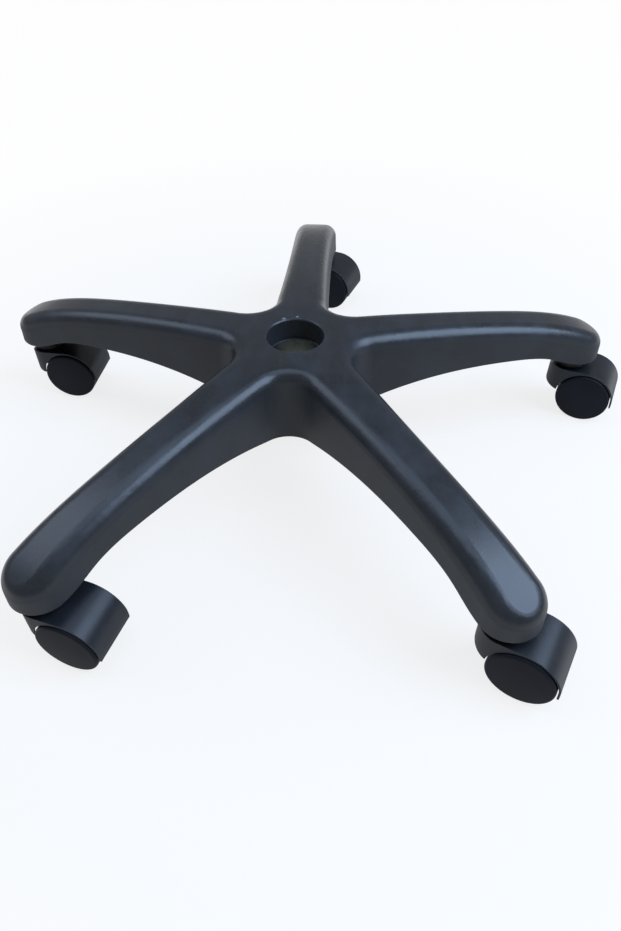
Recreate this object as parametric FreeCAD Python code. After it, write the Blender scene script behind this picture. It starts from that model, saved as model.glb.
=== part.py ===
import FreeCAD, Part
import math
import os

# Office chair five star base with five hooded twin wheel casters. Millimetres.
# Origin: centre of the column bore's top rim. +Z up, +Y along the back arm.

# star: plan outline at the level of the hub top
ARMS = 5
SOCKET_X = 285.0          # caster stem axis, also the centre of the rounded arm end
ARM_WAIST = 90.0          # from the stem axis back to the arm's narrowest place
ARM_WAIST_HALF = 20.3     # half width there
ARM_SIDE_R = 2500.0       # long hollow arc of the arm's side
FORK_R = 24.1             # rounding between neighbouring arms
DRAFT = 0.038             # side walls widen by this much per mm downwards

# star: heights, each curve as (share of the way along, z)
TOP_FLAT_X = 36.0         # flat hub top
TOP_END = 35.0            # the top curve runs on this far past the stem axis
TOP_CURVE = [(0.31, -5.5), (0.602, -16.2), (0.856, -34.0), (0.965, -49.5), (1.0, -56.2)]
TOP_END_SLOPE = -0.68
HUB_BOTTOM_X = 44.0
HUB_BOTTOM_Z = -67.5
ARCH_CURVE = [(0.163, -60.8), (0.327, -53.8), (0.506, -50.8), (0.665, -51.2), (0.841, -57.1)]
TIP_FLAT = 4.0            # the arch ends this far past the stem axis
TIP_BOTTOM_Z = -68.5
TOP_ROUND = 13.5          # rounded top edge all round the star
BOTTOM_ROUND = 1.0        # rounded bottom edge of the walls

# star: hollow underside
WALL = 4.0
SKIN = 4.5                # thickness of the top
RIB = 3.0
CROSS_RIB = 2.4
CROSS_RIBS = 6            # along each arm
RIB_SETBACK = 4.0         # ribs stop this far inside the edge of the walls
RING_RIB_GAP = 11.0       # from the hub tube to the ring rib round it
BOSS_WALL = 6.0           # around each stem socket

# column bore with its steel taper sleeve
COLUMN_D = 50.0
COLUMN_CLEARANCE = 0.25   # radial, lead-in to column
LEAD_IN_DEPTH = 21.0
RIM_CHAMFER = 1.0
SLEEVE_STEP = 0.5         # sleeve is smaller than the column by this, radial, so it drops in from above
SLEEVE_WALL = 1.0         # at the sleeve's thin upper end
SLEEVE_CLEARANCE = 0.02   # radial, sleeve to hub
TAPER_HALF_ANGLE = 1.4378  # degrees
HUB_WALL = 5.5
LIP_W = 2.2               # hub lip that carries the sleeve
LIP_H = 3.0

# caster
WHEEL_R = 26.0
TRAIL = 23.4              # axle behind the stem axis
CASTER_TURN = [-20.0, -4.0, -15.0, -26.0, -21.0]   # trail direction from +X in degrees, one per arm

# caster hood
HOOD_GAP = 1.1            # wheel to mudguard
HOOD_WALL = 1.5
HOOD_HALF = 20.8          # half width
WEB_HALF = 6.0
LIP_DROP = 4.0            # straight rear lip ends this far below the axle
NOSE = 17.2               # rounded front stands this far ahead of the stem axis
NOSE_BOTTOM = 4.5         # front edge above the axle
NOSE_ROUND = 9.0
TUBE_R = 8.0
NECK_R = 12.0             # raised neck under the stem flange
NECK_FOOT_R = 15.0
NECK_H = 6.8
AXLE_BOSS_R = 9.0

# stem, grip ring and axle
STEM_D = 11.0
STEM_LENGTH = 22.0
SOCKET_END_GAP = 1.0
FLANGE_R = 8.0
FLANGE_H = 2.0
SHANK_D = 8.0
SHANK_END = 7.5           # shank ends this far above the axle
RING_FROM_TOP = 3.0
RING_H = 5.0
RING_GROOVE = 0.9
RING_SLIT = 2.0
GROOVE_PLAY = 0.2
AXLE_D = 6.0
AXLE_END_GAP = 2.0        # axle end to the inside of the wheel's face
SNAP = 0.4                # depth of the snap grooves
SNAP_LIP = 0.2            # height of the snap lips
SNAP_W = 1.6
SNAP_PLAY = 0.4
SNAP_FROM_END = 2.4
EDGE = 0.5                # small chamfers

# fits
RUN_CLEARANCE = 0.05      # radial, pieces that turn on each other
FIXED_CLEARANCE = 0.03    # radial, pieces fixed in one another
BODY_GAP = 0.5            # axial gap between pieces that turn on each other

# wheel
WHEEL_PROUD = 3.2         # middle of the wheel's face stands out past the hood
WHEEL_DOME_R = 270.0      # crown of the face
GATE_R = 2.0              # flat gate mark in the middle of the face
WHEEL_SKIN = 3.1
RIM_ROUND = 2.4
RIM_T = 3.4
RIM_SETBACK = 1.2
WHEEL_HUB_R = 6.6
WHEEL_RIBS = 6
WHEEL_RIB_T = 1.6
WHEEL_RIB_SETBACK = 4.0

V = FreeCAD.Vector
UP = V(0, 0, 1)
ARM_STEP = 360.0 / ARMS
LOFT_DEPTH = 10.0 - min(HUB_BOTTOM_Z, TIP_BOTTOM_Z)
TOP_END_X = SOCKET_X + TOP_END
TIP_FLAT_X = SOCKET_X + TIP_FLAT
BORE_R = COLUMN_D / 2 + COLUMN_CLEARANCE
SLEEVE_R = COLUMN_D / 2 - SLEEVE_STEP
SLEEVE_BOTTOM_Z = HUB_BOTTOM_Z + LIP_H
HUB_R = SLEEVE_R + HUB_WALL
SOCKET_R = STEM_D / 2 + FIXED_CLEARANCE
BOSS_R = SOCKET_R + BOSS_WALL
HOOD_IN_R = WHEEL_R + HOOD_GAP
HOOD_R = HOOD_IN_R + HOOD_WALL
FLANGE_BOTTOM_Z = TIP_BOTTOM_Z - FLANGE_H
NECK_TOP_Z = FLANGE_BOTTOM_Z - BODY_GAP
HOOD_TOP_Z = NECK_TOP_Z - NECK_H
AXLE_Z = HOOD_TOP_Z - HOOD_R
SHANK_BOTTOM_Z = AXLE_Z + SHANK_END
WHEEL_FACE = HOOD_HALF + WHEEL_PROUD
FACE_INSIDE = WHEEL_FACE - WHEEL_SKIN
AXLE_HALF = FACE_INSIDE - AXLE_END_GAP


def polar(radius, degrees, z=0.0):
    a = math.radians(degrees)
    return V(radius * math.cos(a), radius * math.sin(a), z)


def line(p, q):
    return Part.makeLine(p, q)


def arc(p, q, r):
    return Part.Arc(p, q, r).toShape()


def face(edges):
    return Part.Face(Part.Wire(edges))


def polygon(points):
    return Part.Face(Part.makePolygon(points + [points[0]]))


def pillar(radius, z0, z1, x=0.0, y=0.0):
    """Upright cylinder."""
    return Part.makeCylinder(radius, z1 - z0, V(x, y, z0))


def cross_bar(radius, y0, y1):
    """Cylinder along the caster's axle."""
    return Part.makeCylinder(radius, y1 - y0, V(TRAIL, y0, AXLE_Z), V(0, 1, 0))


def box(x0, x1, half_y, z0, z1):
    return Part.makeBox(x1 - x0, 2 * half_y, z1 - z0, V(x0, -half_y, z0))


def turned(shape, degrees):
    s = shape.copy()
    s.rotate(V(0, 0, 0), UP, degrees)
    return s


def lathe(points):
    """Body turned about Z from (radius, z) corners."""
    return polygon([V(r, 0, z) for r, z in points]).revolve(V(0, 0, 0), UP, 360)


def on_arms(shape, offset=0.0):
    """One copy of a shape drawn along +X for each arm."""
    return [turned(shape, 90 + offset + ARM_STEP * k) for k in range(ARMS)]


# star outline: for each arm a side arc, the end arc, a side arc and a fork arc, all tangent
SIDE_C = V(SOCKET_X - ARM_WAIST, ARM_WAIST_HALF + ARM_SIDE_R, 0)
END_C = V(SOCKET_X, 0, 0)
END_R = (SIDE_C - END_C).Length - ARM_SIDE_R
FORK_DIR = polar(1, ARM_STEP / 2)
FORK_B = FORK_DIR.dot(SIDE_C)
FORK_X = FORK_B - math.sqrt(FORK_B ** 2 - SIDE_C.Length ** 2 + (ARM_SIDE_R - FORK_R) ** 2)
FORK_C = FORK_DIR * FORK_X


def outline(inset, z):
    """Closed star wire at height z, moved inwards by inset."""
    side_r = ARM_SIDE_R + inset
    fork_r = FORK_R + inset
    end_r = END_R - inset
    end_p = END_C + (SIDE_C - END_C).normalize() * end_r
    fork_p = SIDE_C + (FORK_C - SIDE_C).normalize() * side_r
    side_mid = SIDE_C + ((end_p + fork_p) * 0.5 - SIDE_C).normalize() * side_r
    low = [V(p.x, -p.y, 0) for p in (fork_p, side_mid, end_p)]
    half = ARM_STEP / 2
    to_next = polar(fork_p.Length, 2 * half - math.degrees(math.atan2(fork_p.y, fork_p.x)))
    arm = [arc(*low), arc(low[2], END_C + V(end_r, 0, 0), end_p), arc(end_p, side_mid, fork_p),
           arc(fork_p, FORK_C - FORK_DIR * fork_r, to_next)]
    wire = Part.Wire([e for k in range(ARMS) for e in [turned(a, 90 + ARM_STEP * k) for a in arm]])
    wire.translate(V(0, 0, z))
    return wire


def star_prism(inset):
    """Star with drafted side walls."""
    return Part.makeLoft([outline(inset, 0.0), outline(inset - DRAFT * LOFT_DEPTH, -LOFT_DEPTH)], True, True)


def smooth(points, start_slope, end_slope):
    """Smooth curve in the XZ plane through (x, z) points."""
    b = Part.BSplineCurve()
    b.interpolate(Points=[V(x, 0, z) for x, z in points],
                  InitialTangent=V(1, 0, start_slope), FinalTangent=V(1, 0, end_slope))
    return b


def along(shares, x0, x1):
    return [(x0 + f * (x1 - x0), z) for f, z in shares]


TOP_POINTS = [(TOP_FLAT_X, 0.0)] + along(TOP_CURVE, TOP_FLAT_X, TOP_END_X)
TOP_LINE = smooth(TOP_POINTS, 0.0, TOP_END_SLOPE)
ARCH_POINTS = along(ARCH_CURVE, HUB_BOTTOM_X, TIP_FLAT_X)
ARCH_LINE = smooth([(HUB_BOTTOM_X, HUB_BOTTOM_Z)] + ARCH_POINTS + [(TIP_FLAT_X, TIP_BOTTOM_Z)], 0.0, 0.0)


def height(line_, x):
    """Height of a curve at a distance from the centre, level beyond its ends."""
    first = line_.StartPoint
    last = line_.EndPoint
    if x <= first.x:
        return first.z
    if x >= last.x:
        return last.z
    return line_.intersect(Part.Line(V(x, 0, 0), V(x, 0, 1)))[0].Z


def between(drop, rise):
    """Turned body between the top line lowered by drop and the bottom line raised by rise."""
    top = TOP_LINE.toShape()
    top.translate(V(0, 0, -drop))
    arch = ARCH_LINE.toShape()
    arch.translate(V(0, 0, rise))
    hub_z = HUB_BOTTOM_Z + rise
    tip_z = TIP_BOTTOM_Z + rise
    far = V(TOP_END_X, 0, tip_z)
    section = face([line(V(0, 0, hub_z), V(0, 0, -drop)), line(V(0, 0, -drop), V(TOP_FLAT_X, 0, -drop)), top,
                    line(TOP_LINE.EndPoint - V(0, 0, drop), far), line(far, V(TIP_FLAT_X, 0, tip_z)), arch,
                    line(V(HUB_BOTTOM_X, 0, hub_z), V(0, 0, hub_z))])
    return turned(section.revolve(V(0, 0, 0), UP, 360), 90)


def edge_round(solid, line_, shift, radius):
    """Round the star's outer edge along a height curve moved up by shift."""
    rim = []
    for e in solid.Edges:
        mid = e.valueAt((e.FirstParameter + e.LastParameter) / 2)
        pts = [e.valueAt(e.FirstParameter), mid, e.valueAt(e.LastParameter)]
        on_curve = all(abs(p.z - shift - height(line_, math.hypot(p.x, p.y))) < 0.05 for p in pts)
        walls = [f for f in solid.ancestorsOfType(e, Part.Face) if isinstance(f.Surface, Part.Cone)]
        if on_curve and len(walls) == 1:
            rim.append(e)
    return solid.makeFillet(radius, rim)


def star_base():
    outer = star_prism(0.0).common(between(0.0, 0.0))
    outer = edge_round(outer, TOP_LINE, 0.0, TOP_ROUND)
    outer = edge_round(outer, ARCH_LINE, 0.0, BOTTOM_ROUND)
    hollow = star_prism(WALL).common(between(SKIN, -LOFT_DEPTH))
    hollow = edge_round(hollow, TOP_LINE, -SKIN, TOP_ROUND - SKIN)
    ribs = on_arms(box(HUB_R - RIB, SOCKET_X, RIB / 2, -LOFT_DEPTH, 0))
    ribs += on_arms(box(HUB_R - RIB, FORK_X, RIB / 2, -LOFT_DEPTH, 0), ARM_STEP / 2)
    ring_r = HUB_R + RING_RIB_GAP
    pitch = (SOCKET_X - BOSS_R - ring_r) / (CROSS_RIBS + 1)
    for i in range(CROSS_RIBS):
        x = ring_r + pitch * (i + 1)
        ribs += on_arms(box(x - CROSS_RIB / 2, x + CROSS_RIB / 2, FORK_X, -LOFT_DEPTH, 0))
    ribs.append(pillar(ring_r + RIB / 2, -LOFT_DEPTH, 0).cut(pillar(ring_r - RIB / 2, -LOFT_DEPTH, 0)))
    ribs = ribs[0].fuse(ribs[1:]).common(between(0.0, RIB_SETBACK))
    posts = [pillar(HUB_R, -LOFT_DEPTH, 0)] + on_arms(pillar(BOSS_R, -LOFT_DEPTH, 0, SOCKET_X))
    hollow = hollow.cut([ribs] + posts)
    bore = lathe([(0, RIM_CHAMFER), (BORE_R + 2 * RIM_CHAMFER, RIM_CHAMFER), (BORE_R, -RIM_CHAMFER),
                  (BORE_R, -LEAD_IN_DEPTH), (SLEEVE_R, -LEAD_IN_DEPTH), (SLEEVE_R, SLEEVE_BOTTOM_Z),
                  (SLEEVE_R - LIP_W, SLEEVE_BOTTOM_Z), (SLEEVE_R - LIP_W, -LOFT_DEPTH), (0, -LOFT_DEPTH)])
    socket_top = TIP_BOTTOM_Z + STEM_LENGTH + SOCKET_END_GAP
    sockets = on_arms(pillar(SOCKET_R, -LOFT_DEPTH, socket_top, SOCKET_X))
    return outer.cut([hollow, bore] + sockets)


def taper_sleeve():
    r = SLEEVE_R - SLEEVE_CLEARANCE
    top = SLEEVE_R - SLEEVE_WALL
    bottom = top - (-LEAD_IN_DEPTH - SLEEVE_BOTTOM_Z) * math.tan(math.radians(TAPER_HALF_ANGLE))
    return lathe([(top, -LEAD_IN_DEPTH), (r, -LEAD_IN_DEPTH), (r, SLEEVE_BOTTOM_Z),
                  (bottom, SLEEVE_BOTTOM_Z)])


# caster pieces are drawn with the stem axis on Z and the axle behind it on +X
def stem():
    r = STEM_D / 2
    top = TIP_BOTTOM_Z + STEM_LENGTH
    g1 = top - RING_FROM_TOP
    g0 = g1 - RING_H - 2 * GROOVE_PLAY
    s = SHANK_D / 2
    n1 = SHANK_BOTTOM_Z + SNAP_FROM_END
    n0 = n1 - SNAP_W
    return lathe([(0, top), (r - EDGE, top), (r, top - EDGE), (r, g1), (r - RING_GROOVE, g1),
                  (r - RING_GROOVE, g0), (r, g0), (r, TIP_BOTTOM_Z), (FLANGE_R, TIP_BOTTOM_Z),
                  (FLANGE_R, FLANGE_BOTTOM_Z),
                  (s, FLANGE_BOTTOM_Z), (s, n1), (s - SNAP, n1), (s - SNAP, n0), (s, n0),
                  (s, SHANK_BOTTOM_Z + EDGE), (s - EDGE, SHANK_BOTTOM_Z), (0, SHANK_BOTTOM_Z)])


def grip_ring():
    z1 = TIP_BOTTOM_Z + STEM_LENGTH - RING_FROM_TOP - GROOVE_PLAY
    z0 = z1 - RING_H
    outer = SOCKET_R - SLEEVE_CLEARANCE
    inner = STEM_D / 2 - RING_GROOVE + FIXED_CLEARANCE
    ring = lathe([(inner, z0), (outer - EDGE, z0), (outer, z0 + EDGE), (outer, z1 - EDGE),
                  (outer - EDGE, z1), (inner, z1)])
    return ring.cut(box(0, STEM_D, RING_SLIT / 2, z0 - 1, z1 + 1))


def from_axle(x, z):
    return V(TRAIL + x, 0, AXLE_Z + z)


def side_shape():
    """Side view of the hood as a face in the XZ plane."""
    rear = from_axle(HOOD_R, 0)
    lip = from_axle(HOOD_R, -LIP_DROP)
    d = HOOD_R * math.sqrt(0.5)
    top = from_axle(0, HOOD_R)
    x0 = -NOSE
    k = NOSE_ROUND * (1 - math.sqrt(0.5))
    bend = [V(x0 + NOSE_ROUND, 0, HOOD_TOP_Z), V(x0 + k, 0, HOOD_TOP_Z - k),
            V(x0, 0, HOOD_TOP_Z - NOSE_ROUND)]
    chin = V(x0, 0, AXLE_Z + NOSE_BOTTOM)
    return face([line(lip, rear), arc(rear, from_axle(d, d), top), line(top, bend[0]), arc(*bend),
                 line(bend[2], chin), line(chin, lip)])


def slab(flat, half_y):
    s = flat.extrude(V(0, 2 * half_y, 0))
    s.translate(V(0, -half_y, 0))
    return s


def nose_plan(inset):
    """Upright body with a half oval front ahead of the stem."""
    half_y = HOOD_HALF - inset
    oval = Part.Ellipse(V(0, half_y, 0), V(NOSE - inset, 0, 0), V(0, 0, 0))
    front = face([oval.toShape()]).extrude(V(0, 0, -2 * LOFT_DEPTH))
    return front.fuse(box(0, TRAIL + 2 * HOOD_R, half_y, -2 * LOFT_DEPTH, 0))


def hood():
    wide = HOOD_HALF + 1
    inner_top = HOOD_TOP_Z - HOOD_WALL
    body = slab(side_shape(), HOOD_HALF).common(nose_plan(0.0))
    # wheel well, open at the back below the axle, and the hollow of the nose
    drop = box(TRAIL, TRAIL + HOOD_IN_R, wide, AXLE_Z - HOOD_R, AXLE_Z)
    well = cross_bar(HOOD_IN_R, -wide, wide).fuse(drop)
    low = polygon([V(-wide, 0, AXLE_Z - 1), V(TRAIL, 0, AXLE_Z - 1), V(TRAIL, 0, inner_top),
                   V(NOSE_ROUND - NOSE, 0, inner_top), V(-wide, 0, HOOD_TOP_Z - NOSE_ROUND)])
    nose = slab(low, wide).common(nose_plan(HOOD_WALL))
    shell = body.cut([well, nose])
    # middle web, cut back behind and below the axle boss
    d = HOOD_IN_R * math.sqrt(0.5)
    b = AXLE_BOSS_R
    back = [from_axle(d, d), from_axle(0.8 * b, 0.5 * b), from_axle(0.7 * b, -HOOD_R),
            from_axle(2 * HOOD_R, -HOOD_R), from_axle(2 * HOOD_R, d)]
    front = [from_axle(-3 * HOOD_R, NOSE_BOTTOM - 1), from_axle(-TRAIL - TUBE_R, NOSE_BOTTOM - 1),
             from_axle(-0.9 * b, -0.4 * b), from_axle(-0.5 * b, -HOOD_R), from_axle(-3 * HOOD_R, -HOOD_R)]
    web = slab(side_shape(), WEB_HALF).common(nose_plan(0.0))
    web = web.cut([slab(polygon(back), wide), slab(polygon(front), wide)])
    boss = cross_bar(AXLE_BOSS_R, -WEB_HALF, WEB_HALF)
    # stem tube and neck
    wells = [cross_bar(HOOD_IN_R, WEB_HALF, wide), cross_bar(HOOD_IN_R, -wide, -WEB_HALF)]
    tube = pillar(TUBE_R, AXLE_Z + NOSE_BOTTOM - 1, inner_top + HOOD_WALL / 2).cut(wells)
    neck = lathe([(0, NECK_TOP_Z), (NECK_R, NECK_TOP_Z), (NECK_FOOT_R, HOOD_TOP_Z), (NECK_R, inner_top),
                  (0, inner_top)])
    # stem bore with its snap lip, axle bore
    s = SHANK_D / 2 + RUN_CLEARANCE
    n1 = SHANK_BOTTOM_Z + SNAP_FROM_END - SNAP_PLAY
    n0 = n1 - SNAP_W + 2 * SNAP_PLAY
    end = SHANK_BOTTOM_Z - BODY_GAP
    bore = lathe([(0, 0), (s, 0), (s, n1), (s - SNAP_LIP, n1), (s - SNAP_LIP, n0), (s, n0), (s, end),
                  (0, end)])
    axle_bore = cross_bar(AXLE_D / 2 + FIXED_CLEARANCE, -wide, wide)
    return shell.fuse([web, boss, tube, neck]).cut([bore, axle_bore]).removeSplitter()


def about_axle(profile):
    """Body turned about the axle from (radius, y) corners; a corner may be an arc's (mid, end) pair."""
    edges = []
    here = profile[0]
    for step in profile[1:] + [profile[0]]:
        if isinstance(step[0], tuple):
            mid, end = step
            edges.append(arc(V(here[0], here[1], 0), V(mid[0], mid[1], 0), V(end[0], end[1], 0)))
        else:
            end = step
            edges.append(line(V(here[0], here[1], 0), V(end[0], end[1], 0)))
        here = end
    s = face(edges).revolve(V(0, 0, 0), V(0, 1, 0), 360)
    s.translate(V(TRAIL, 0, AXLE_Z))
    return s


def axle():
    r = AXLE_D / 2
    n1 = AXLE_HALF - SNAP_FROM_END
    n0 = n1 - SNAP_W
    half = [(r, n0), (r - SNAP, n0), (r - SNAP, n1), (r, n1), (r, AXLE_HALF - EDGE),
            (r - EDGE, AXLE_HALF), (0, AXLE_HALF)]
    return about_axle([(x, -y) for x, y in reversed(half)] + half)


def wheel():
    """Wheel on the +Y side."""
    r = WHEEL_R
    b = AXLE_D / 2 + RUN_CLEARANCE
    hub = WEB_HALF + BODY_GAP
    rim = WEB_HALF + RIM_SETBACK
    n1 = AXLE_HALF - SNAP_FROM_END - SNAP_PLAY
    n0 = n1 - SNAP_W + 2 * SNAP_PLAY
    end = AXLE_HALF + BODY_GAP
    # domed face running smoothly into the rounded rim
    flat = r - RIM_ROUND
    dome_y = WHEEL_FACE - math.sqrt(WHEEL_DOME_R ** 2 - GATE_R ** 2)
    round_y = dome_y + math.sqrt((WHEEL_DOME_R - RIM_ROUND) ** 2 - flat ** 2)
    a = math.atan2(round_y - dome_y, flat)
    m = (a + math.acos(GATE_R / WHEEL_DOME_R)) / 2
    dome = [(WHEEL_DOME_R * math.cos(t), dome_y + WHEEL_DOME_R * math.sin(t)) for t in (m, a)]
    edge = (flat + RIM_ROUND * math.cos(a / 2), round_y + RIM_ROUND * math.sin(a / 2))
    w = about_axle([(0, WHEEL_FACE), (GATE_R, WHEEL_FACE), tuple(dome), (edge, (r, round_y)),
                    (r, rim + EDGE), (r - EDGE, rim), (r - RIM_T, rim), (r - RIM_T, FACE_INSIDE),
                    (WHEEL_HUB_R, FACE_INSIDE), (WHEEL_HUB_R, hub), (b, hub), (b, n0), (b - SNAP_LIP, n0),
                    (b - SNAP_LIP, n1), (b, n1), (b, end), (0, end)])
    # ribs between hub and rim, set back from the rim's edge
    y0 = rim + WHEEL_RIB_SETBACK
    rib = Part.makeBox(r - RIM_T - b, FACE_INSIDE - y0 + WHEEL_SKIN / 2, WHEEL_RIB_T,
                       V(TRAIL + b + RIM_T / 2, y0, AXLE_Z - WHEEL_RIB_T / 2))
    ribs = []
    for i in range(WHEEL_RIBS):
        s = rib.copy()
        s.rotate(V(TRAIL, 0, AXLE_Z), V(0, 1, 0), 360 / WHEEL_RIBS * i)
        ribs.append(s.cut(cross_bar((b + WHEEL_HUB_R) / 2, 0, 2 * WHEEL_FACE)))
    return w.fuse(ribs).removeSplitter()


def mirrored(shape):
    s = shape.copy()
    s.rotate(V(TRAIL, 0, AXLE_Z), UP, 180)
    return s


os.makedirs("parts", exist_ok=True)
star_base().exportStep("parts/star_base.step")
taper_sleeve().exportStep("parts/taper_sleeve.step")
right = wheel()
CASTER = {"stem": stem(), "grip_ring": grip_ring(), "hood": hood(), "axle": axle(),
          "wheel_right": right, "wheel_left": mirrored(right)}
for k in range(ARMS):
    for name, shape in CASTER.items():
        piece = turned(shape, CASTER_TURN[k % len(CASTER_TURN)])
        piece.translate(polar(SOCKET_X, 90 + ARM_STEP * k))
        piece.exportStep("parts/%s_%d.step" % (name, k + 1))
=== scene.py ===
import math

import bpy
from mathutils import Matrix, Vector


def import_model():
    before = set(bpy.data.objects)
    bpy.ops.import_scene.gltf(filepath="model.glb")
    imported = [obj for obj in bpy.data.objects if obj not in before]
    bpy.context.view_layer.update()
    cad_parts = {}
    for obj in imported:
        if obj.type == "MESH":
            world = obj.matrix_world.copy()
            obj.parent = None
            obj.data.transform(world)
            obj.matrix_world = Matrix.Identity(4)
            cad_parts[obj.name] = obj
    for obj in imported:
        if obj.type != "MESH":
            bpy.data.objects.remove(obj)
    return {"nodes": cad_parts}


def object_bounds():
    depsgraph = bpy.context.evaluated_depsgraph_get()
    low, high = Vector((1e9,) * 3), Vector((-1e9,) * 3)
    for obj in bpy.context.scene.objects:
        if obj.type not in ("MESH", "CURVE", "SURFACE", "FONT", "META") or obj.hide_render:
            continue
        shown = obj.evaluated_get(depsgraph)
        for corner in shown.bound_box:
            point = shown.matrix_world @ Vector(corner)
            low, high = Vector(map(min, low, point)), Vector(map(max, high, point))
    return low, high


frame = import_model()
cad_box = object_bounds()
nodes = frame["nodes"]
scene = bpy.context.scene
scene.view_settings.view_transform = "Standard"

MM = 0.001
FLOOR_Z = cad_box[0].z

# nylon
NYLON_IOR = 1.53
FULL_GRAIN = 0.6          # roughness where use has not polished the mould's grain
FLOW_MM = 38.0            # size of the clouds that the melt's flow leaves
SCUFF_SHEEN_MM = 20.0           # width of a pale patch on the tops, partly a scuff and partly a painted sheen
SCUFF_SHEEN_SQUEEZE = 0.45      # its width as a share of its length
SCUFF_SHEEN_TURN = 0.6          # turn of the pattern, in radians
EDGE_ROUND_MM = 0.9       # radius to which edges are rounded; it also sets the width of the pale edge line, partly wear and partly a painted highlight
EDGE_CLEAR_MM = 4.0       # the pale edge line shows only where nothing of the piece stands this near
# pale colours: the top patches are partly scuffs and partly a painted sheen, the edge line partly wear and
# partly a painted highlight, then the bruised nicks
SCUFF_AND_SHEEN, WORN_AND_HIGHLIGHT, BRUISED = "#4a5058", "#74797f", "#8b8f98"
# two nicks on the back of the bore's rim, left by a column put in askew: x, y, z and radius in millimetres
RIM_NICKS = [(-12.3, 25.2, 0.0, 2.2), (-0.5, 29.0, 0.0, 1.8)]

# metals
ZINC_CLOUD_MM = 4.0       # patches of the passivation
OIL_MM = 9.0              # patches of the oil film
RING_MM = 1.2             # tool rings, drawn coarser than the real feed so that they show
RING_DEPTH_MM = 0.05

# floor and backdrop: metres from the hub, and brightness where 1 is white
FLOOR_HALF = 6.0
SHADOW_START, SHADOW_END = 0.3, 0.8
WHITE_NEAR, WHITE_FAR = 0.8, 0.98    # share of the floor's white that is its own, in the shadow and past it
FADE_START = 2.2
BACKDROP = 0.36
ALL_ROUND_LIGHT = 0.15

# soft boxes that face the hub: name, place and size in metres, watts, colour
SOFT_BOXES = [
    ("right", (1.2, -0.2, 1.3), (1.2, 1.2), 33.0, "#c2dcff"),
    ("top", (0.0, 0.0, 1.8), (1.2, 1.2), 9.0, "#c2dcff"),
    ("left", (-1.15, 0.2, 1.3), (0.9, 1.2), 9.0, "#cfe2ff"),
]

# camera: degrees, millimetres, and metres for what it clips
AZIMUTH, ELEVATION, ROLL = 4.813, 45.239, -0.905
TARGET = (22.94, -168.46, 0.0)
DISTANCE = 496.28
LENS, SENSOR = 27.186, 36.0
SHIFT = (0.0034, 0.0075)
CLIP = (0.02, 50.0)

# sockets of a colour Mix node
SHARE, FROM, TO, RESULT = 0, 6, 7, 2


def linear(code):
    """sRGB hex colour as linear RGBA."""
    values = [int(code[i:i + 2], 16) / 255 for i in (1, 3, 5)]
    return [v / 12.92 if v <= 0.04045 else ((v + 0.055) / 1.055) ** 2.4 for v in values] + [1.0]


def per_metre(size_mm):
    """Texture scale at which one feature is about size_mm wide."""
    return 1.0 / (size_mm * MM)


def add(tree, kind, links=None, sockets=None, **settings):
    """Add a node: settings are its properties, sockets its input values, and links what joins its inputs."""
    made = tree.nodes.new(kind)
    for key, value in settings.items():
        setattr(made, key, value)
    for key, value in (sockets or {}).items():
        made.inputs[key].default_value = value
    for key, source in (links or {}).items():
        tree.links.new(source, made.inputs[key])
    return made


def new_material(name):
    """Empty material with its shader and output joined."""
    made = bpy.data.materials.new(name)
    made.use_nodes = True
    tree = made.node_tree
    tree.nodes.clear()
    shader = add(tree, "ShaderNodeBsdfPrincipled")
    add(tree, "ShaderNodeOutputMaterial", {"Surface": shader.outputs["BSDF"]})
    return made, tree, shader


def upward_share(tree, normal):
    """0 on walls and undersides, 1 on faces that look up."""
    rise = add(tree, "ShaderNodeSeparateXYZ", {"Vector": normal}).outputs["Z"]
    share = add(tree, "ShaderNodeMapRange", {"Value": rise}, {"From Min": 0.15, "From Max": 0.55})
    return share.outputs["Result"]


def scuff_and_sheen_share(tree, place, upward, most):
    """Pale patches on upward faces only: partly scuffs from use, partly a painted sheen of the light on the
    tops.
    """
    stretch = add(tree, "ShaderNodeMapping", {"Vector": place},
                  {"Rotation": (0.0, 0.0, SCUFF_SHEEN_TURN), "Scale": (1.0, SCUFF_SHEEN_SQUEEZE, 1.0)})
    patch = add(tree, "ShaderNodeTexNoise", {"Vector": stretch.outputs["Vector"]},
                {"Scale": per_metre(SCUFF_SHEEN_MM), "Detail": 5.0, "Roughness": 0.65})
    patch = add(tree, "ShaderNodeMapRange", {"Value": patch.outputs["Fac"]},
                {"From Min": 0.46, "From Max": 0.68, "To Max": most})
    share = add(tree, "ShaderNodeMath", {0: patch.outputs["Result"], 1: upward}, operation="MULTIPLY")
    return share.outputs["Value"]


def worn_and_highlight_share(tree, normal, rounded):
    """Pale line on outer edges, partly wear and partly a painted highlight: where the rounded normal leaves
    the face's own, and nothing of the piece stands near.
    """
    turn = add(tree, "ShaderNodeVectorMath", {0: rounded, 1: normal}, operation="DOT_PRODUCT")
    edge = add(tree, "ShaderNodeMapRange", {"Value": turn.outputs["Value"]},
               {"From Min": 0.99, "From Max": 0.85, "To Max": 0.4})
    open_air = add(tree, "ShaderNodeAmbientOcclusion", sockets={"Distance": EDGE_CLEAR_MM * MM},
                   samples=4, only_local=True).outputs["AO"]
    clear = add(tree, "ShaderNodeMapRange", {"Value": open_air}, {"From Min": 0.75, "From Max": 0.95})
    share = add(tree, "ShaderNodeMath", {0: edge.outputs["Result"], 1: clear.outputs["Result"]},
                operation="MULTIPLY")
    return share.outputs["Value"]


def nick_share(tree, place, nick):
    """A bruised spot, palest in its middle."""
    x, y, z, radius = nick
    away = add(tree, "ShaderNodeVectorMath", {0: place}, {1: (x * MM, y * MM, z * MM)},
               operation="DISTANCE")
    share = add(tree, "ShaderNodeMapRange", {"Value": away.outputs["Value"]},
                {"From Min": radius * MM, "From Max": 0.4 * radius * MM, "To Max": 0.7})
    return share.outputs["Result"]


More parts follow.
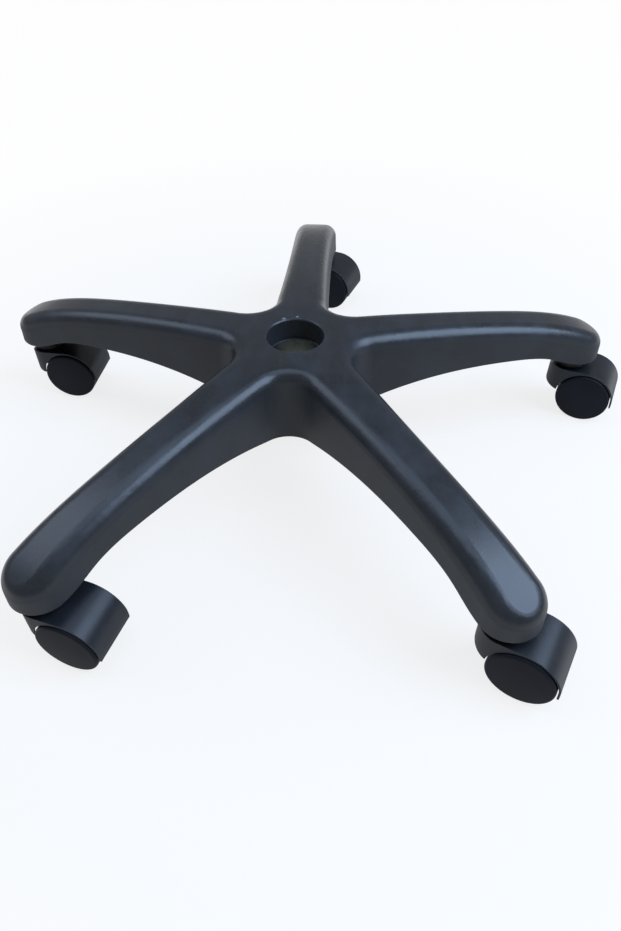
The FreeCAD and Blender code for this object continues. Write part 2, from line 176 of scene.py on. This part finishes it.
def moulded_nylon(name, dark, light, rough, gloss, grain_mm, grain_depth_mm, scuffed_and_sheen, nicks=()):
    """Injection moulded nylon, black all through. The melt's flow clouds the black a little. The mould's
    spark-eroded grain is matt on the walls, and polished by use to satin on the tops. The tops get paler,
    duller patches, partly scuffs from use and partly a painted sheen, and the outer edges a thin pale line,
    partly wear and partly a painted highlight."""
    made, tree, shader = new_material(name)
    shader.inputs["IOR"].default_value = NYLON_IOR
    # below the plain 0.5, because the pits of the grain swallow part of the gloss
    shader.inputs["Specular IOR Level"].default_value = gloss
    place = add(tree, "ShaderNodeTexCoord").outputs["Object"]
    normal = add(tree, "ShaderNodeNewGeometry").outputs["Normal"]
    rounded = add(tree, "ShaderNodeBevel", sockets={"Radius": EDGE_ROUND_MM * MM},
                  samples=6).outputs["Normal"]

    cloud = add(tree, "ShaderNodeTexNoise", {"Vector": place},
                {"Scale": per_metre(FLOW_MM), "Detail": 4.0, "Roughness": 0.6}).outputs["Fac"]
    flow = add(tree, "ShaderNodeMapRange", {"Value": cloud}, {"From Min": 0.3, "From Max": 0.72})
    colour = add(tree, "ShaderNodeMix", {SHARE: flow.outputs["Result"]},
                 {FROM: linear(dark), TO: linear(light)}, data_type="RGBA").outputs[RESULT]
    upward = upward_share(tree, normal)
    # paler patches on the tops: partly scuffs, partly a painted sheen of the light
    scuff_and_sheen = scuff_and_sheen_share(tree, place, upward, scuffed_and_sheen)
    # pale edge line: partly wear, partly a painted highlight on the edges
    marks = [(scuff_and_sheen, SCUFF_AND_SHEEN), (worn_and_highlight_share(tree, normal, rounded), WORN_AND_HIGHLIGHT)]
    marks += [(nick_share(tree, place, nick), BRUISED) for nick in nicks]
    for share, pale in marks:
        colour = add(tree, "ShaderNodeMix", {SHARE: share, FROM: colour}, {TO: linear(pale)},
                     data_type="RGBA").outputs[RESULT]

    # the real grain is about 0.3 mm; it is drawn coarser so that it shows
    grain = add(tree, "ShaderNodeTexNoise", {"Vector": place},
                {"Scale": per_metre(grain_mm), "Detail": 2.0, "Roughness": 0.5})
    bump = add(tree, "ShaderNodeBump", {"Height": grain.outputs["Fac"], "Normal": rounded},
               {"Strength": 0.5, "Distance": grain_depth_mm * MM})
    satin = add(tree, "ShaderNodeMapRange", {"Value": cloud},
                {"From Min": 0.3, "From Max": 0.7, "To Min": rough - 0.04, "To Max": rough + 0.05})
    dull = add(tree, "ShaderNodeMath", {0: scuff_and_sheen, 2: satin.outputs["Result"]}, {1: 0.2},
               operation="MULTIPLY_ADD")
    matt = add(tree, "ShaderNodeMapRange", {"Value": upward, "To Max": dull.outputs["Value"]},
               {"To Min": FULL_GRAIN})
    tree.links.new(colour, shader.inputs["Base Color"])
    tree.links.new(matt.outputs["Result"], shader.inputs["Roughness"])
    tree.links.new(bump.outputs["Normal"], shader.inputs["Normal"])
    return made


def zinc_plated_steel():
    """Bright zinc over drawn steel: pale blue-grey, slightly cloudy where the passivation varies."""
    made, tree, shader = new_material("zinc_plated_steel")
    shader.inputs["Metallic"].default_value = 1.0
    place = add(tree, "ShaderNodeTexCoord").outputs["Object"]
    cloud = add(tree, "ShaderNodeTexNoise", {"Vector": place},
                {"Scale": per_metre(ZINC_CLOUD_MM), "Detail": 3.0}).outputs["Fac"]
    colour = add(tree, "ShaderNodeMix", {SHARE: cloud}, {FROM: linear("#a0a5aa"), TO: linear("#cdd1d4")},
                 data_type="RGBA")
    gloss = add(tree, "ShaderNodeMapRange", {"Value": cloud}, {"To Min": 0.24, "To Max": 0.42})
    tree.links.new(colour.outputs[RESULT], shader.inputs["Base Color"])
    tree.links.new(gloss.outputs["Result"], shader.inputs["Roughness"])
    return made


def turned_steel():
    """Plain turned steel with an oil film: dull grey-green, with tool rings round the bore."""
    made, tree, shader = new_material("turned_plain_steel")
    shader.inputs["Metallic"].default_value = 1.0
    place = add(tree, "ShaderNodeTexCoord").outputs["Object"]
    # at a scale of 1 this texture's bands lie tau / 20 apart
    rings = add(tree, "ShaderNodeTexWave", {"Vector": place},
                {"Scale": per_metre(RING_MM) * math.tau / 20, "Distortion": 0.6, "Detail": 2.0},
                wave_type="BANDS", bands_direction="Z")
    film = add(tree, "ShaderNodeTexNoise", {"Vector": place},
               {"Scale": per_metre(OIL_MM), "Detail": 4.0}).outputs["Fac"]
    colour = add(tree, "ShaderNodeMix", {SHARE: film}, {FROM: linear("#555a57"), TO: linear("#868c87")},
                 data_type="RGBA")
    gloss = add(tree, "ShaderNodeMapRange", {"Value": film}, {"To Min": 0.32, "To Max": 0.52})
    bump = add(tree, "ShaderNodeBump", {"Height": rings.outputs["Fac"]},
               {"Strength": 0.3, "Distance": RING_DEPTH_MM * MM})
    tree.links.new(colour.outputs[RESULT], shader.inputs["Base Color"])
    tree.links.new(gloss.outputs["Result"], shader.inputs["Roughness"])
    tree.links.new(bump.outputs["Normal"], shader.inputs["Normal"])
    return made


def shown_white(tree):
    """1 for rays that show the background, direct, mirrored or through glass, and 0 for its light."""
    path = add(tree, "ShaderNodeLightPath").outputs
    seen = add(tree, "ShaderNodeMath", {0: path["Is Camera Ray"], 1: path["Is Glossy Ray"]},
               operation="MAXIMUM")
    seen = add(tree, "ShaderNodeMath", {0: seen.outputs["Value"], 1: path["Is Transmission Ray"]},
               operation="MAXIMUM")
    return seen.outputs["Value"]


def floor():
    """Pale floor. Where it is seen most of its white is its own, so the shadows stay light, and far away it
    fades to the grey of the backdrop."""
    signs = [(-1, -1), (1, -1), (1, 1), (-1, 1)]
    mesh = bpy.data.meshes.new("floor")
    mesh.from_pydata([(x * FLOOR_HALF, y * FLOOR_HALF, FLOOR_Z) for x, y in signs], [], [(0, 1, 2, 3)])
    made = bpy.data.objects.new("floor", mesh)
    scene.collection.objects.link(made)
    finish = bpy.data.materials.new("pale_floor")
    finish.use_nodes = True
    tree = finish.node_tree
    tree.nodes.clear()
    plain = add(tree, "ShaderNodeBsdfDiffuse", sockets={"Color": linear("#f6f4f0")})
    place = add(tree, "ShaderNodeTexCoord").outputs["Object"]
    away = add(tree, "ShaderNodeVectorMath", {0: place}, operation="LENGTH").outputs["Value"]
    fade = add(tree, "ShaderNodeMapRange", {"Value": away},
               {"From Min": FADE_START, "From Max": FLOOR_HALF, "To Min": 1.0, "To Max": BACKDROP})
    white = add(tree, "ShaderNodeEmission", {"Strength": fade.outputs["Result"]})
    own = add(tree, "ShaderNodeMapRange", {"Value": away},
              {"From Min": SHADOW_START, "From Max": SHADOW_END, "To Min": WHITE_NEAR, "To Max": WHITE_FAR})
    share = add(tree, "ShaderNodeMath", {0: shown_white(tree), 1: own.outputs["Result"]},
                operation="MULTIPLY")
    mix = add(tree, "ShaderNodeMixShader", {0: share.outputs["Value"], 1: plain.outputs["BSDF"],
                                            2: white.outputs["Emission"]})
    add(tree, "ShaderNodeOutputMaterial", {"Surface": mix.outputs["Shader"]})
    mesh.materials.append(finish)


def world():
    """Even pale light from all round, seen as a grey backdrop."""
    made = bpy.data.worlds.new("studio")
    scene.world = made
    made.use_nodes = True
    tree = made.node_tree
    tree.nodes.clear()
    light = add(tree, "ShaderNodeBackground",
                sockets={"Color": linear("#e6edf5"), "Strength": ALL_ROUND_LIGHT})
    shown = add(tree, "ShaderNodeBackground", sockets={"Color": linear("#ffffff"), "Strength": BACKDROP})
    mix = add(tree, "ShaderNodeMixShader", {0: shown_white(tree), 1: light.outputs["Background"],
                                            2: shown.outputs["Background"]})
    add(tree, "ShaderNodeOutputWorld", {"Surface": mix.outputs["Shader"]})


def soft_box(name, place, size, power, colour):
    """Rectangular lamp that faces the hub."""
    data = bpy.data.lights.new(name, "AREA")
    data.shape = "RECTANGLE"
    data.size, data.size_y = size
    data.energy = power
    data.color = linear(colour)[:3]
    made = bpy.data.objects.new(name, data)
    made.location = place
    made.rotation_mode = "QUATERNION"
    made.rotation_quaternion = (-Vector(place)).to_track_quat("-Z", "Y")
    scene.collection.objects.link(made)


def camera():
    """The photo's viewpoint: from the front, about 45 degrees above the horizon."""
    az, el, roll = math.radians(AZIMUTH), math.radians(ELEVATION), math.radians(ROLL)
    back = Vector((math.cos(el) * math.sin(az), -math.cos(el) * math.cos(az), math.sin(el)))
    right = Vector((0, 0, 1)).cross(back).normalized()
    up = back.cross(right)
    across = right * math.cos(roll) + up * math.sin(roll)
    upward = up * math.cos(roll) - right * math.sin(roll)
    data = bpy.data.cameras.new("camera")
    data.lens = LENS
    data.sensor_width = SENSOR
    data.shift_x, data.shift_y = SHIFT
    data.clip_start, data.clip_end = CLIP
    made = bpy.data.objects.new("camera", data)
    turn = Matrix((across, upward, back)).transposed().to_4x4()
    made.matrix_world = Matrix.Translation(Vector(TARGET) * MM + back * DISTANCE * MM) @ turn
    scene.collection.objects.link(made)
    scene.camera = made


# the last number sets the paler patches on the tops, partly scuffs and partly a painted sheen
star_nylon = moulded_nylon("moulded_glass_filled_nylon", dark="#1f2225", light="#2a2d32", rough=0.28,
                           gloss=0.4, grain_mm=1.5, grain_depth_mm=0.1, scuffed_and_sheen=0.16, nicks=RIM_NICKS)
hood_nylon = moulded_nylon("moulded_nylon_hood", dark="#1b1e21", light="#25272c", rough=0.34,
                           gloss=0.32, grain_mm=1.2, grain_depth_mm=0.05, scuffed_and_sheen=0.06)
wheel_nylon = moulded_nylon("moulded_nylon_wheel", dark="#18191e", light="#1f2127", rough=0.42,
                            gloss=0.1, grain_mm=1.2, grain_depth_mm=0.05, scuffed_and_sheen=0.0)
FINISH = {"star_base": star_nylon, "hood": hood_nylon, "wheel": wheel_nylon, "taper": turned_steel()}
zinc = zinc_plated_steel()

# the rest, stems, grip rings and axles, are zinc plated
for name, piece in nodes.items():
    finish = next((made for start, made in FINISH.items() if name.startswith(start)), zinc)
    piece.data.materials.clear()
    piece.data.materials.append(finish)

floor()
world()
for box in SOFT_BOXES:
    soft_box(*box)
camera()
